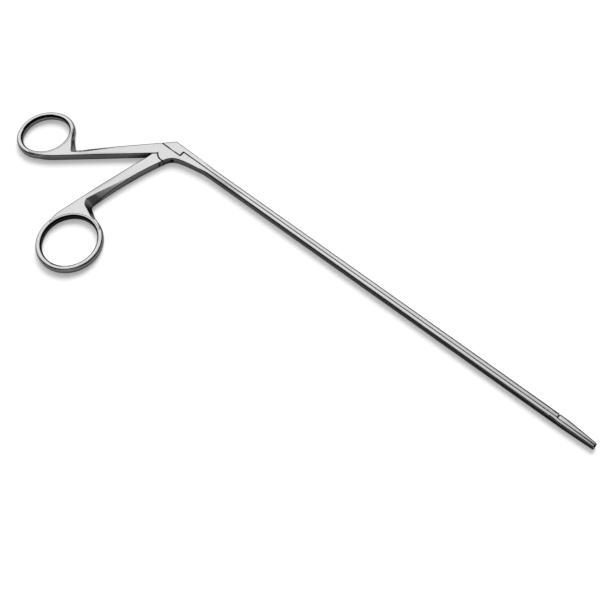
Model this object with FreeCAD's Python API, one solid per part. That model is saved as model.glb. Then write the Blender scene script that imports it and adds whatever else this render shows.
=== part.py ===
import FreeCAD, Part
import math
import os

V = FreeCAD.Vector

# Alligator ear forceps lying flat, jaws closed. Millimetres.
# Origin: foot of the handle pivot's axis. X runs along the shaft to the tip, Z is the pivot's axis.

# Plate, shaft and sliding plane
thick = 5.5                   # box, arms and shaft share one thickness, flush on both faces
shaft_width = 6.36            # both halves of the shaft together, across the sliding plane
shaft_corner = 1.6            # rounding of the shaft's outer edges
parting_y = 7.5               # sliding plane of the shaft, above the pivot
deck_y = 3.9                  # sliding plane of the head, above the pivot
slide_gap = 0.1               # between the faces that slide on each other
edge_break = 0.2              # bevel of the edges along every joint line
plate_end_x = 18.0            # where the square-edged plate starts to round
shaft_start_x = 32.0          # where the shaft's full rounding starts

# Box and head
head_top_y = 10.9             # upper corner of the head
head_top_x = -1.4
head_front_x = 7.45           # step face of the head
stop_gap = 0.5                # forward stop between the head's step and the box's step
shoulder_r = 6.45             # rim of the cheeks, about the pivot
shoulder_gap = 0.15           # between that rim and the shoulder of the finger handle
flare_r = 82.0                # long curve from the shaft's underside to the box
throat_x = 9.0                # where it turns into the throat
throat_r = 11.0

# Mechanism
lever_arm = 5.6               # from the handle pivot to the drive pin's track
jaw_arm = 2.75                # from the jaw hinge to the link rivet's track
jaw_open = 40.0               # opening of the upper jaw, degrees
pivot_pin_r = 1.6
drive_pin_r = 0.9
rivet_r = 0.6
running_fit = 0.04            # radial clearance of a pin that turns in its hole
track_fit = 0.06              # clearance each side of a pin in its slot
tongue_thick = 2.0            # middle leaf of the finger handle
tang_thick = 1.6              # middle leaf of the upper jaw
leaf_gap = 0.08               # each side of a leaf in its slot
hub_r = 4.2                   # round of the tongue about the pivot
lobe_wall = 0.85              # metal round the lever's eye
jaw_eye_wall = 0.55           # metal round the eyes of the tang
sweep_gap = 0.2               # room round a leaf where it turns

# Jaws
jaw_root_x = 301.55           # rear face of the upper jaw
jaw_length = 26.35
jaw_gap = 0.6                 # between the rod's end and the rear face of the upper jaw
hinge_back = 5.5              # jaw hinge, behind the rear face
hinge_drop = 1.55             # jaw hinge, below the shaft's sliding plane
bite_drop = 0.35              # bite plane, below the shaft's sliding plane
bite_gap = 0.1                # between the two rows of teeth
tooth_pitch = 0.9
tooth_depth = 0.34
teeth_start = 3.6             # plain land before the first tooth
teeth_end = 1.3               # plain land after the last tooth
jaw_parallel = 6.4            # stretch behind the taper
jaw_fall = 1.75               # how far the jaw's back falls over the taper
tip_thick = 4.6               # thickness of the jaws at the tip
tip_nose = 1.3                # rounded nose
jaw_flats = 5                 # flats that the jaws' rounding is dressed in, from top to side
bite_groove_root = 0.2        # bevel along the line where the jaws meet, at their root
bite_groove_tip = 0.38        # and at the tip
web_drop = 0.35               # web of the tang in the gap behind the jaw, below the shaft's top
lower_jaw_share = 0.4         # the lower jaw's back rises less than the upper one falls

# Guide studs, pressed into the lower shaft, heads in keyhole slots of the rod
rear_stud = 14.0              # from the start of the full rounding
front_stud = 17.55            # from the rear face of the upper jaw
stem_r = 0.7
stud_head_r = 1.15
stud_head_thick = 0.7
stud_root = 1.7               # depth of the stem in the lower shaft
stem_height = 0.9             # stem above the sliding plane, under the head
stud_gap = 0.1                # round stem and head

# Rings
ring_half_width = 2.0         # rounded section, half its width across the wire
ring_half_height = 2.7        # and half its height
wire_squareness = 0.7         # 1 is an ellipse, less is squarer
wire_flats = 20               # narrow flats round the section
finger_ring_x = -4.0          # centre of the round ring
finger_ring_y = -88.3
finger_ring_long = 20.2       # half axes of the wire's centre line
finger_ring_short = 19.1
finger_ring_turn = 90.0       # direction of the long axis, degrees
thumb_ring_x = -74.5          # centre of the oval ring
thumb_ring_y = -39.5
thumb_ring_long = 17.9
thumb_ring_short = 15.5
thumb_ring_turn = 66.5

# Arms
thumb_outer_slope = 44.6      # outer edge of the thumb arm, degrees
thumb_inner_slope = 40.8      # inner edge
box_corner_turn = 216.2       # where the thumb arm's inner edge leaves the cheek's rim
flank_length = 3.5            # closed stop between the two arms
thumb_web = 24.4              # from the thumb ring's centre to the notch, along X
arm_bow_x = -16.4             # the finger arm bows out to here, left edge
arm_bow_y = -42.0
notch_r = 3.5                 # rounding where the finger arm meets its ring

# Derived sizes of the mechanism
mid_z = thick / 2
shaft_low_y = parting_y - shaft_width / 2
shaft_top_y = parting_y + shaft_width / 2
travel = 2 * jaw_arm * math.tan(math.radians(jaw_open / 2))
handle_open = math.degrees(2 * math.atan(travel / (2 * lever_arm)))
drive_pin_at = (travel / 2, lever_arm)
hinge_at = (jaw_root_x - hinge_back, parting_y - hinge_drop)
link_at = (hinge_at[0] + travel / 2, hinge_at[1] + jaw_arm)
rod_end_x = jaw_root_x - jaw_gap
step_x = head_front_x + stop_gap
tip_x = jaw_root_x + jaw_length
bite_y = parting_y - bite_drop
jaw_hub_r = rivet_r + running_fit + jaw_eye_wall
stud_x = (shaft_start_x + rear_stud, jaw_root_x - front_stud)
taper_start = jaw_parallel / jaw_length
nose_start = 1 - tip_nose / jaw_length
nose_middle = 1 - tip_nose / jaw_length * 0.35
# Flare stations: share of the stretch, rounding
flare_stations = [(0.0, 0.12), (0.33, 0.4), (0.68, 1.15), (1.0, shaft_corner)]
# Jaw stations: share of the length, fall of the back, thickness, rounding
jaw_stations = [
    (0.0, 0.06, thick, shaft_corner), (taper_start, 0.08, thick, shaft_corner),
    (0.77, jaw_fall * 0.74, (thick + tip_thick) / 2, 1.15), (nose_start, jaw_fall, tip_thick, 0.95),
    (nose_middle, jaw_fall + 0.25, tip_thick - 0.45, 0.8), (1.0, jaw_fall + 0.7, tip_thick - 1.3, 0.45)]
FINGER_RING = ((finger_ring_x, finger_ring_y), finger_ring_long, finger_ring_short, finger_ring_turn)
THUMB_RING = ((thumb_ring_x, thumb_ring_y), thumb_ring_long, thumb_ring_short, thumb_ring_turn)
PAST = 1.0                    # reach of the cutters past the metal


def at(centre, radius, degrees):
    """Point on a circle."""
    turn = math.radians(degrees)
    return (centre[0] + radius * math.cos(turn), centre[1] + radius * math.sin(turn))


def oval_radii(oval):
    """Radii of the end and side arcs of a four-arc oval, and how far their centres are set off."""
    centre, long_half, short_half, turn = oval
    offset = (long_half - short_half) / (2 - math.sqrt(2))
    end_r = long_half - offset
    return end_r, end_r + offset * math.sqrt(2), offset


def by_ring(oval, heading, out):
    """Point outside a ring's centre line, by its heading from the ring's centre."""
    centre, long_half, short_half, turn = oval
    end_r, side_r, offset = oval_radii(oval)
    lean = math.radians((heading - turn) % 180)
    lean = min(lean, math.pi - lean)
    along = offset * math.cos(lean)
    across = offset * math.sin(lean)
    if lean < math.atan2(end_r, side_r):
        reach = along + math.sqrt(end_r ** 2 - across ** 2)
    else:
        reach = math.sqrt(side_r ** 2 - along ** 2) - across
    return at(centre, reach + out, heading)


def outline(start, *steps):
    """Closed outline. A point is a straight edge, a pair of points is an arc through the first."""
    edges = []
    here = start
    for step in steps + (start,):
        if isinstance(step[0], tuple):
            middle, there = step
            edges.append(Part.Arc(V(*here, 0), V(*middle, 0), V(*there, 0)).toShape())
        elif math.dist(here, step) > 1e-6:
            there = step
            edges.append(Part.makeLine(V(*here, 0), V(*there, 0)))
        here = there
    return Part.Wire(edges)


def plate(wire, low=0.0, high=None):
    """Solid between two heights."""
    high = thick if high is None else high
    face = Part.Face(wire)
    face.translate(V(0, 0, low))
    return face.extrude(V(0, 0, high - low))


def leaf_band(leaf, gap=0.0):
    """Lower and upper height of a leaf in the middle of the plate."""
    return (mid_z - leaf / 2 - gap, mid_z + leaf / 2 + gap)


def disc(centre, radius, low=0.0, high=None):
    """Upright cylinder."""
    high = thick if high is None else high
    return Part.makeCylinder(radius, high - low, V(centre[0], centre[1], low))


def hull_of_two(first, second, radius, low, high):
    """Two round ends and the straight web between them."""
    along = V(second[0] - first[0], second[1] - first[1], 0)
    if along.Length < 1e-6:
        return disc(first, radius, low, high)
    side = V(-along.y, along.x, 0).normalize() * radius
    web = outline((first[0] + side.x, first[1] + side.y), (second[0] + side.x, second[1] + side.y),
                  (second[0] - side.x, second[1] - side.y), (first[0] - side.x, first[1] - side.y))
    ends = [disc(first, radius, low, high), disc(second, radius, low, high)]
    return plate(web, low, high).fuse(ends).removeSplitter()


def half_section(x, inner_y, outer_y, corner, height=None):
    """Half of the shaft's section at x: flat at the sliding plane, rounded outside."""
    half = (thick if height is None else height) / 2
    out = 1 if outer_y > inner_y else -1
    bend = corner * (1 - math.sqrt(0.5))

    def point(y, z):
        return V(x, y, mid_z + z)

    if height is not None:
        points = [point(inner_y, half - edge_break), point(inner_y, edge_break - half),
                  point(inner_y + out * edge_break, -half)]
        for flat in range(jaw_flats + 1):
            turn = math.pi / 2 * flat / jaw_flats
            points.append(point(outer_y - out * corner * (1 - math.sin(turn)),
                                corner * (1 - math.cos(turn)) - half))
        points += [V(far.x, far.y, 2 * mid_z - far.z) for far in reversed(points[2:])]
        return Part.makePolygon(points + points[:1])

    edges = [
        Part.makeLine(point(inner_y, half - edge_break), point(inner_y, edge_break - half)),
        Part.makeLine(point(inner_y, edge_break - half), point(inner_y + out * edge_break, -half)),
        Part.makeLine(point(inner_y + out * edge_break, -half), point(outer_y - out * corner, -half)),
        Part.Arc(point(outer_y - out * corner, -half), point(outer_y - out * bend, bend - half),
                 point(outer_y, corner - half)).toShape(),
        Part.makeLine(point(outer_y, corner - half), point(outer_y, half - corner)),
        Part.Arc(point(outer_y, half - corner), point(outer_y - out * bend, half - bend),
                 point(outer_y - out * corner, half)).toShape(),
        Part.makeLine(point(outer_y - out * corner, half), point(inner_y + out * edge_break, half)),
        Part.makeLine(point(inner_y + out * edge_break, half), point(inner_y, half - edge_break)),
    ]
    return Part.Wire(edges)


def straight_shaft(x0, x1, inner_y, outer_y):
    """Half of the shaft from x0 to x1."""
    face = Part.Face(half_section(x0, inner_y, outer_y, shaft_corner))
    return face.extrude(V(x1 - x0, 0, 0))


def joint_groove(start, end):
    """Bevels both edges of a straight joint line, on both faces of the plate."""
    reach = edge_break + slide_gap / 2
    along = V(end[0] - start[0], end[1] - start[1], 0)
    side = V(-along.y, along.x, 0).normalize() * reach
    up = V(0, 0, reach)
    bars = []
    for z in (0.0, thick):
        foot = V(start[0], start[1], z)
        diamond = Part.makePolygon([foot + side, foot + up, foot - side, foot - up, foot + side])
        bars.append(Part.Face(diamond).extrude(along))
    return bars


def rim_groove(start_turn, end_turn):
    """Bevels both edges of the round joint line between cheeks and shoulder."""
    reach = edge_break + shoulder_gap / 2
    radius = shoulder_r + shoulder_gap / 2
    foot = V(*at((0, 0), radius, start_turn), 0)
    out = V(foot.x, foot.y, 0).normalize() * reach
    up = V(0, 0, reach)
    bars = []
    for z in (0.0, thick):
        base = foot + V(0, 0, z)
        diamond = Part.makePolygon([base + out, base + up, base - out, base - up, base + out])
        bars.append(Part.Face(diamond).revolve(V(0, 0, 0), V(0, 0, 1), end_turn - start_turn))
    return bars


def oval_arcs(oval):
    """The four arcs of an oval: centre, radius and the heading where each starts."""
    centre, long_half, short_half, turn = oval
    end_r, side_r, offset = oval_radii(oval)
    arcs = []
    for quarter, radius in enumerate((end_r, side_r, end_r, side_r)):
        heading = turn + 90 * quarter
        set_off = heading if radius == end_r else heading + 180
        arcs.append((at(centre, offset, set_off), radius, heading - 45))
    return arcs


def wire_section(centre, radius, heading):
    """Rounded section of the ring's wire, dressed in narrow flats, with a broad crest."""
    points = []
    for flat in range(wire_flats + 1):
        turn = 2 * math.pi * (flat + 0.5) / wire_flats
        out = math.copysign(abs(math.cos(turn)) ** wire_squareness, math.cos(turn))
        rise = math.copysign(abs(math.sin(turn)) ** wire_squareness, math.sin(turn))
        points.append(V(*at(centre, radius + ring_half_width * out, heading),
                        mid_z + ring_half_height * rise))
    return Part.Face(Part.makePolygon(points))


def ring(oval):
    """Rounded wire bent to an oval of four tangent arcs."""
    bends = []
    for centre, radius, heading in oval_arcs(oval):
        section = wire_section(centre, radius, heading)
        bends.append(section.revolve(V(*centre, 0), V(0, 0, 1), 90))
    return bends[0].fuse(bends[1:]).removeSplitter()


def ring_hole(oval):
    """Prism inside the wire's centre line, which trims the web."""
    steps = []
    for centre, radius, heading in oval_arcs(oval):
        steps.append((at(centre, radius, heading + 45), at(centre, radius, heading + 90)))
    first = oval_arcs(oval)[0]
    return plate(outline(at(*first), *steps), -PAST, thick + PAST)


def notch_bevel(sections):
    """Falling surface round the notch of arm and ring, on both faces of the plate.

    Each section is the face's boundary, the outer edge, and how far the surface has fallen there."""
    past = 1.2
    wires = []
    for inner, outer, fall in sections:
        run = math.dist(inner, outer)
        reach = (run + past) / run
        far = V(inner[0] + (outer[0] - inner[0]) * reach, inner[1] + (outer[1] - inner[1]) * reach, 0)
        near = V(inner[0], inner[1], 0)
        low = V(0, 0, thick - fall * reach)
        brim = V(0, 0, thick)
        roof = V(0, 0, thick + 1.0)
        wires.append(Part.makePolygon([near + brim, far + low, far + roof, near + roof, near + brim]))
    upper = Part.makeLoft(wires, True, True)
    lower = upper.mirror(V(0, 0, mid_z), V(0, 0, 1))
    return [upper, lower]


def thumb_edge(x):
    """Outer edge line of the thumb arm, which the head's rear face continues."""
    return head_top_y + math.tan(math.radians(thumb_outer_slope)) * (x - head_top_x)


def thumb_edge_x(y):
    """The same line, by height."""
    return head_top_x + (y - head_top_y) / math.tan(math.radians(thumb_outer_slope))


def flare_y(x):
    """Underside of the box towards the shaft."""
    drop = shaft_start_x - x
    return shaft_low_y - flare_r + math.sqrt(flare_r ** 2 - drop ** 2)


def circles_meet(first, first_r, second, second_r, upper):
    """Where two circles cross."""
    apart = math.dist(first, second)
    along = (apart ** 2 + first_r ** 2 - second_r ** 2) / (2 * apart)
    across = math.sqrt(first_r ** 2 - along ** 2) * (1 if upper else -1)
    ux = (second[0] - first[0]) / apart
    uy = (second[1] - first[1]) / apart
    return (first[0] + ux * along - uy * across, first[1] + uy * along + ux * across)


# Throat under the box: an arc tangent to the flare
throat_slope = math.asin((shaft_start_x - throat_x) / flare_r)
throat_start = (throat_x, flare_y(throat_x))
throat_centre = (throat_x + throat_r * math.sin(throat_slope),
                 throat_start[1] - throat_r * math.cos(throat_slope))
cheek_end = circles_meet((0, 0), shoulder_r, throat_centre, throat_r, False)
cheek_end_turn = math.degrees(math.atan2(cheek_end[1], cheek_end[0])) + 360
box_corner = at((0, 0), shoulder_r, box_corner_turn)


def throat_middle():
    """Middle point of the throat's arc."""
    first = math.atan2(throat_start[1] - throat_centre[1], throat_start[0] - throat_centre[0])
    last = math.atan2(cheek_end[1] - throat_centre[1], cheek_end[0] - throat_centre[0])
    last = last if last > first else last + 2 * math.pi
    return at(throat_centre, throat_r, math.degrees((first + last) / 2))


def thumb_inner(distance):
    """Point on the thumb arm's inner edge, from the box corner."""
    return at(box_corner, distance, 180 + thumb_inner_slope)


# Tongue: hub, lever with a slotted eye, and the neck down to the shoulder
tongue_low, tongue_high = leaf_band(tongue_thick)
lever_turn = math.degrees(math.atan2(drive_pin_at[1], drive_pin_at[0]))
track_near = at((0, 0), lever_arm, lever_turn)
track_far = at((0, 0), math.dist((0, 0), drive_pin_at), lever_turn)
eye_r = drive_pin_r + track_fit
lobe_r = eye_r + lobe_wall
shoulder_left = at((0, 0), shoulder_r + shoulder_gap, box_corner_turn + 1.1)
shoulder_right_turn = cheek_end_turn - 0.6
shoulder_right = at((0, 0), shoulder_r + shoulder_gap, shoulder_right_turn)


def tongue():
    lever = hull_of_two((0, 0), track_far, lobe_r, tongue_low, tongue_high)
    neck = outline(at((0, 0), hub_r - 0.2, 196), at((0, 0), shoulder_r - 0.2, box_corner_turn + 3.0),
                   at((0, 0), shoulder_r + 3.0, box_corner_turn + 14.0),
                   at((0, 0), shoulder_r + 3.0, shoulder_right_turn - 8.0),
                   at((0, 0), shoulder_r - 0.2, shoulder_right_turn),
                   at((0, 0), hub_r - 0.2, 318))
    leaf = disc((0, 0), hub_r, tongue_low, tongue_high).fuse([lever, plate(neck, tongue_low, tongue_high)])
    leaf = leaf.cut(disc((0, 0), pivot_pin_r + running_fit, 0, thick))
    return leaf.cut(hull_of_two(track_near, track_far, eye_r, 0, thick))


def box_slot():
    """Slot of the box, for the tongue over its whole swing."""
    low, high = leaf_band(tongue_thick, leaf_gap)
    room = hub_r + sweep_gap
    half_channel = lobe_r + travel / 2 * deck_y / lever_arm + sweep_gap
    channel = outline((-half_channel, 0), (-half_channel, deck_y + 1), (half_channel, deck_y + 1),
                      (half_channel, 0))
    left = box_corner_turn + 0.4
    mouth = outline(at((0, 0), room, 190), at((0, 0), shoulder_r + 0.01, left),
                    at((0, 0), shoulder_r + 4.0, left + 20), (hub_r + 3.0, -hub_r - 4.0),
                    (hub_r + 3.0, -0.6), (room, -0.6), (0, 0))
    return disc((0, 0), room, low, high).fuse([plate(channel, low, high), plate(mouth, low, high)])


def fixed_handle():
    """Thumb ring, arm, box, lower shaft and lower jaw, in one piece."""
    deck = deck_y - slide_gap / 2
    land = parting_y - slide_gap / 2
    notch_x = thumb_ring_x + thumb_web
    notch = (notch_x, thumb_edge(notch_x) + 0.9)
    ring_side = by_ring(THUMB_RING, 49.8, 0.8)
    foot = by_ring(THUMB_RING, 303.1, 1.44)
    heel = by_ring(THUMB_RING, 280.0, 0.72)
    arm_end = thumb_inner(math.dist(box_corner, foot) - 7.4)
    body = plate(outline(
        (thumb_edge_x(deck), deck), (step_x, deck), (step_x, land), (plate_end_x, land),
        (plate_end_x, flare_y(plate_end_x)), ((throat_x + 4.5, flare_y(throat_x + 4.5)), throat_start),
        (throat_middle(), cheek_end),
        (at((0, 0), shoulder_r, (cheek_end_turn + box_corner_turn) / 2), box_corner),
        arm_end, (foot, heel), by_ring(THUMB_RING, 265, -0.5), by_ring(THUMB_RING, 265, -7),
        by_ring(THUMB_RING, 49.8, -5), ring_side, (notch[0] - 1.1, notch[1] + 0.95),
        ((notch[0] - 0.05, notch[1] + 0.45), (notch[0] + 1.1, thumb_edge(notch[0] + 1.1)))))
    body = body.cut(ring_hole(THUMB_RING))
    body = body.cut(notch_bevel([
        thumb_bevel(notch[0] + 20, 0.5, 0.1), thumb_bevel(notch[0] + 8, 1.85, 0.7),
        thumb_bevel(notch[0] + 2.6, 2.2, 1.2),
        ((notch[0] - 0.8, notch[1] - 3.3), (notch[0] + 0.1, notch[1] + 0.2), 1.6),
        (by_ring(THUMB_RING, 17.9, 2.8), by_ring(THUMB_RING, 20.7, 4.5), 1.5),
        (by_ring(THUMB_RING, 44.5, 0.45), by_ring(THUMB_RING, 44.8, 1.2), 1.1)]))
    shaft = straight_shaft(shaft_start_x, jaw_root_x - 0.25, land, shaft_low_y)
    body = body.fuse([flare(land, flare_y), shaft, lower_jaw(land), ring(THUMB_RING)])
    grooves = joint_groove((thumb_edge_x(deck_y) - 2, deck_y), (step_x, deck_y))
    grooves += joint_groove((step_x, parting_y), (plate_end_x, parting_y))
    grooves += rim_groove(box_corner_turn - 6, cheek_end_turn + 20)
    body = body.cut(grooves + [box_slot(), tang_slot(), disc((0, 0), pivot_pin_r)])
    body = body.cut([disc(hinge_at, rivet_r)] + [stud_hole(x) for x in stud_x])
    return body.removeSplitter()


def thumb_bevel(x, width, fall):
    """Section of the thumb arm's bevel, square to its outer edge."""
    edge = (x, thumb_edge(x))
    return (at(edge, width, thumb_outer_slope - 90), edge, fall)


def flare(inner_y, outer_y):
    """Stretch where the plate's square edges turn into the shaft's rounding."""
    span = shaft_start_x - plate_end_x
    wires = []
    for share, corner in flare_stations:
        x = plate_end_x + share * span
        wires.append(half_section(x, inner_y, outer_y(x), corner))
    return Part.makeLoft(wires, True, True)


def jaw_blank(start, inner_y, root_y, side):
    """Tapering jaw, still without teeth. Side is 1 for the upper jaw and -1 for the lower."""
    wires = []
    for place, fall, height, corner in jaw_stations:
        x = start + (tip_x - start) * place
        wires.append(half_section(x, inner_y, root_y - side * fall, corner, height))
    return Part.makeLoft(wires, True, True)


def gap_groove():
    """Bevels the rod's end and the rear face of the upper jaw, on both faces."""
    reach = edge_break + jaw_gap / 2
    x = jaw_root_x - jaw_gap / 2
    bars = []
    for z in (0.0, thick):
        foot = V(x, bite_y, z)
        side = V(reach, 0, 0)
        up = V(0, 0, reach)
        diamond = Part.makePolygon([foot + side, foot + up, foot - side, foot - up, foot + side])
        bars.append(Part.Face(diamond).extrude(V(0, shaft_top_y - bite_y + PAST, 0)))
    return bars


def tooth_line(offset, side):
    """Region above or below the zigzag of the teeth."""
    first = jaw_root_x + teeth_start
    count = int((jaw_length - teeth_start - teeth_end) / tooth_pitch)
    level = bite_y + offset
    points = [(jaw_root_x - 2.0, level), (first, level)]
    for tooth in range(count):
        start = first + tooth * tooth_pitch
        points.append((start + tooth_pitch / 4, level + tooth_depth / 2))
        points.append((start + 3 * tooth_pitch / 4, level - tooth_depth / 2))
        points.append((start + tooth_pitch, level))
    points.append((tip_x + 2.0, level))
    points += [(tip_x + 2.0, level + side * 8), (jaw_root_x - 2.0, level + side * 8)]
    return plate(outline(*points), -PAST, thick + PAST)


def bite_groove():
    """Bevels both edges of the line where the jaws meet, on both faces, wider towards the tip."""
    bars = []
    for side in (1, -1):
        wires = []
        for place, fall, height, corner in jaw_stations:
            reach = bite_groove_root + (bite_groove_tip - bite_groove_root) * place
            end = PAST * (1 if place == 1.0 else -1 if place == 0.0 else 0)
            foot = V(jaw_root_x + jaw_length * place + end, bite_y, mid_z + side * height / 2)
            across = V(0, reach, 0)
            up = V(0, 0, reach)
            wires.append(Part.makePolygon([foot + across, foot + up, foot - across, foot - up,
                                           foot + across]))
        bars.append(Part.makeLoft(wires, True, True))
    return bars


def lower_jaw(land):
    """Fixed jaw, which continues the lower half of the shaft."""
    blank = jaw_blank(jaw_root_x - 0.25, land, shaft_low_y, -lower_jaw_share)
    return blank.cut([tooth_line(-bite_gap / 2, 1)] + bite_groove())


def upper_jaw():
    """Moving jaw with its tang."""
    blank = jaw_blank(jaw_root_x, bite_y - 1.0, shaft_top_y, 1)
    blade = blank.cut([tooth_line(bite_gap / 2, -1)] + bite_groove() + gap_groove())
    low, high = leaf_band(tang_thick)
    tang = hull_of_two(hinge_at, link_at, jaw_hub_r, low, high)
    root = jaw_root_x + 0.6
    web_top = shaft_top_y - web_drop
    web = outline(at(hinge_at, jaw_hub_r, 296), (root, bite_y + bite_gap), (root, web_top),
                  (rod_end_x - web_drop, web_top), at(link_at, jaw_hub_r, 60), link_at, hinge_at)
    jaw = blade.fuse([tang, plate(web, low, high)])
    eye = rivet_r + track_fit
    turn = math.degrees(math.atan2(link_at[1] - hinge_at[1], link_at[0] - hinge_at[0]))
    near = at(hinge_at, jaw_arm, turn)
    jaw = jaw.cut([disc(hinge_at, rivet_r + running_fit), hull_of_two(near, link_at, eye, 0, thick)])
    return jaw.removeSplitter()


def tang_slot():
    """Fork of the lower shaft, for the tang over its whole swing."""
    low, high = leaf_band(tang_thick, leaf_gap)
    room = jaw_hub_r + sweep_gap * 0.75
    open_turn = 90 + jaw_open / 2
    rear = at(hinge_at, room, open_turn + 90)
    rear_top = at(rear, jaw_arm, open_turn)
    side = outline(rear, rear_top, (rear_top[0], parting_y + 1), (jaw_root_x + 0.8, parting_y + 1),
                   (jaw_root_x + 0.8, bite_y - sweep_gap / 2), at(hinge_at, room, 296), hinge_at)
    return disc(hinge_at, room, low, high).fuse(plate(side, low, high))


def stud_hole(x):
    """Hole for the stem of a guide stud."""
    return Part.makeCylinder(stem_r, stud_root + 1, V(x, parting_y - slide_gap / 2 - stud_root, mid_z),
                             V(0, 1, 0))


def guide_stud(x):
    """Stem with a flat round head."""
    foot = parting_y - slide_gap / 2 - stud_root
    under_head = parting_y + stem_height
    stem = Part.makeCylinder(stem_r, under_head - foot, V(x, foot, mid_z), V(0, 1, 0))
    head = Part.makeCylinder(stud_head_r, stud_head_thick, V(x, under_head, mid_z), V(0, 1, 0))
    return stem.fuse(head).removeSplitter()


def upright_slot(x0, x1, radius, y0, y1):
    """Slot along the rod, cut up from its flat face."""
    ends = [Part.makeCylinder(radius, y1 - y0, V(x, y0, mid_z), V(0, 1, 0)) for x in (x0, x1)]
    web = Part.makeBox(x1 - x0, y1 - y0, 2 * radius, V(x0, y0, mid_z - radius))
    return web.fuse(ends).removeSplitter()


def keyhole(x):
    """T-slot that the stud's head runs in, with a round entry past the end of the travel."""
    stem = stem_r + stud_gap
    head = stud_head_r + stud_gap
    rear = x - stud_gap
    front = x + travel + stud_gap
    entry = front + 2 * head
    flat = parting_y + slide_gap / 2 - 0.5
    roof = parting_y + stem_height + stud_head_thick + stud_gap
    narrow = upright_slot(rear, entry, stem, flat, roof)
    wide = upright_slot(rear, entry, head, parting_y + stem_height - stud_gap, roof)
    mouth = Part.makeCylinder(head, roof - flat, V(entry, flat, mid_z), V(0, 1, 0))
    return narrow.fuse([wide, mouth])


def sliding_rod():
    """Upper half of the shaft, with the head over the box and the fork at the jaw."""
    sole = deck_y + slide_gap / 2
    land = parting_y + slide_gap / 2
    head = plate(outline(
        (thumb_edge_x(sole), sole), (head_front_x, sole), (head_front_x, land), (plate_end_x, land),
        (plate_end_x, shaft_top_y), (head_front_x, shaft_top_y), (head_top_x, head_top_y)))
    straight = straight_shaft(shaft_start_x, rod_end_x, land, shaft_top_y)
    rod = head.fuse([flare(land, lambda x: shaft_top_y), straight])
    low, high = leaf_band(tongue_thick, leaf_gap)
    pocket_r = lobe_r + sweep_gap
    half_pocket = pocket_r + travel / 2 * (lever_arm - sole) / lever_arm + 0.3
    left = drive_pin_at[0] - half_pocket
    right = drive_pin_at[0] + half_pocket
    arch = [at(drive_pin_at, half_pocket, heading) for heading in (90, 0)]
    pocket = plate(outline((left, sole - PAST), (right, sole - PAST), arch[1],
                           (arch[0], (left, drive_pin_at[1]))), low, high)
    fork_low, fork_high = leaf_band(tang_thick, leaf_gap)
    fork_x = hinge_at[0] - jaw_hub_r + 0.2
    fork = Part.makeBox(rod_end_x + PAST - fork_x, shaft_width, fork_high - fork_low,
                        V(fork_x, land - PAST, fork_low))
    grooves = joint_groove((thumb_edge_x(deck_y) - 2, deck_y), (head_front_x, deck_y))
    grooves += joint_groove((head_front_x, parting_y), (plate_end_x, parting_y))
    rod = rod.cut(grooves + gap_groove() + [pocket, fork, disc(drive_pin_at, drive_pin_r), disc(link_at, rivet_r)])
    rod = rod.cut([keyhole(x) for x in stud_x])
    return rod.removeSplitter()


def finger_bevel(start, end, share, width, fall):
    """Section of the finger arm's bevel, at a share of the way down to the notch."""
    bow = 0.7 * share * (1 - share) * 4
    edge = (start[0] + share * (end[0] - start[0]) + bow, start[1] + share * (end[1] - start[1]))
    return ((edge[0] - width, edge[1] - 0.04 * width), edge, fall)


def finger_handle():
    """Finger ring and arm, with the tongue that turns in the box."""
    flank_end = at(shoulder_left, flank_length, 180 + thumb_inner_slope)
    rim = shoulder_r + shoulder_gap
    middle_turn = (shoulder_right_turn + box_corner_turn + 1.1) / 2
    notch_centre = by_ring(FINGER_RING, 97, 9.0)
    notch = at(notch_centre, notch_r, 172)
    notch_end = at(notch_centre, notch_r, 238)
    front_bow = (arm_bow_x + 10.2, arm_bow_y + 12)
    body = plate(outline(
        shoulder_left, (at((0, 0), rim, middle_turn), shoulder_right),
        (front_bow, notch), (at(notch_centre, notch_r, 205), notch_end),
        by_ring(FINGER_RING, 83.5, 1.76), (by_ring(FINGER_RING, 72, 1.26), by_ring(FINGER_RING, 60.8, 0.4)),
        by_ring(FINGER_RING, 70, -6), by_ring(FINGER_RING, 130, -6), by_ring(FINGER_RING, 176, 0.1),
        (by_ring(FINGER_RING, 157.7, 2.6), by_ring(FINGER_RING, 140.1, 5.1)),
        ((arm_bow_x, arm_bow_y), (-9.2, -12.6)), (-8.6, -10.6), flank_end))
    body = body.cut(ring_hole(FINGER_RING))
    body = body.cut(notch_bevel([
        finger_bevel(front_bow, notch, 0.05, 1.2, 0.15), finger_bevel(front_bow, notch, 0.4, 3.8, 0.95),
        finger_bevel(front_bow, notch, 0.75, 5.7, 1.7), finger_bevel(front_bow, notch, 1.0, 6.2, 2.0),
        (at(notch_centre, notch_r + 5.7, 190), at(notch_centre, notch_r, 189), 2.15),
        (at(notch_centre, notch_r + 5.1, 203), at(notch_centre, notch_r, 204), 2.3),
        (at(notch_centre, notch_r + 4.0, 217), at(notch_centre, notch_r, 220), 2.4),
        (at(notch_centre, notch_r + 3.0, 233), at(notch_centre, notch_r, 238), 2.4),
        (by_ring(FINGER_RING, 94, 1.2), by_ring(FINGER_RING, 94, 3.2), 2.2),
        (by_ring(FINGER_RING, 85.1, 0.9), by_ring(FINGER_RING, 84.8, 1.9), 1.4)]))
    body = body.fuse([ring(FINGER_RING), tongue()])
    body = body.cut(rim_groove(box_corner_turn - 6, cheek_end_turn + 20))
    return body.removeSplitter()


def flush_pin(centre, radius):
    """Plain pin, ground flush with both faces."""
    return disc(centre, radius)


def flush_rivet(centre, inner_y, outer_y):
    """Rivet ground flush with the rounded sides of the shaft."""
    around = straight_shaft(centre[0] - 4, centre[0] + 4, inner_y, outer_y)
    return disc(centre, rivet_r).common(around)


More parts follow.
